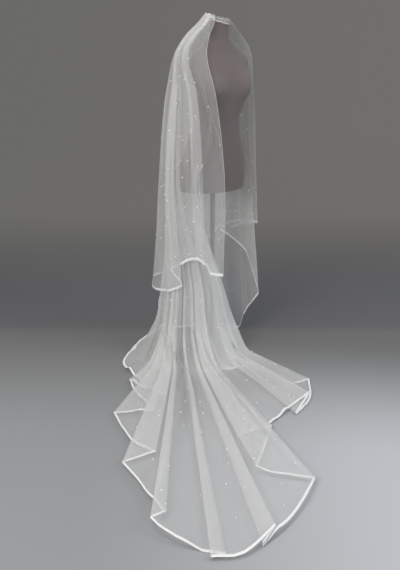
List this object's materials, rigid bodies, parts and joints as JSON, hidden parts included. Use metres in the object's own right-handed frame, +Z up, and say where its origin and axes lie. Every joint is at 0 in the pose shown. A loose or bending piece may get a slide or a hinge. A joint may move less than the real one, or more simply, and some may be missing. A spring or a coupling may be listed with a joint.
{
  "type": "bridal veil on a dress form",
  "caption": "Two-tier tulle bridal veil with ribbon edges, hanging from the neck of a limbless dress form on a stand, with a long train spread over the floor.",
  "frame": {"origin": "on the underside of the foot plate, where the pole's axis meets the floor", "axes": "+Z up; the train lies towards -Y; +X is to the right seen from the end of the train"},
  "size_m": [0.8719, 1.8213, 1.5808],
  "materials": {
    "tulle": "fine soft net, sheer, faint sheen",
    "satin": "satin ribbon, soft sheen",
    "jersey": "matt stretch jersey cover",
    "painted": "smooth eggshell",
    "enamel": "matt grey stand",
    "steel": "brushed"
  },
  "bodies": {
    "root": {"dress_form": "jersey", "neck_cap": "painted", "pole": "enamel", "foot_plate": "enamel", "comb": "steel", "upper_tier": "tulle", "upper_ribbon": "satin", "lower_tier_fall": "tulle", "lower_tier_train": "tulle", "lower_ribbon": "satin"}
  },
  "joints": []
}
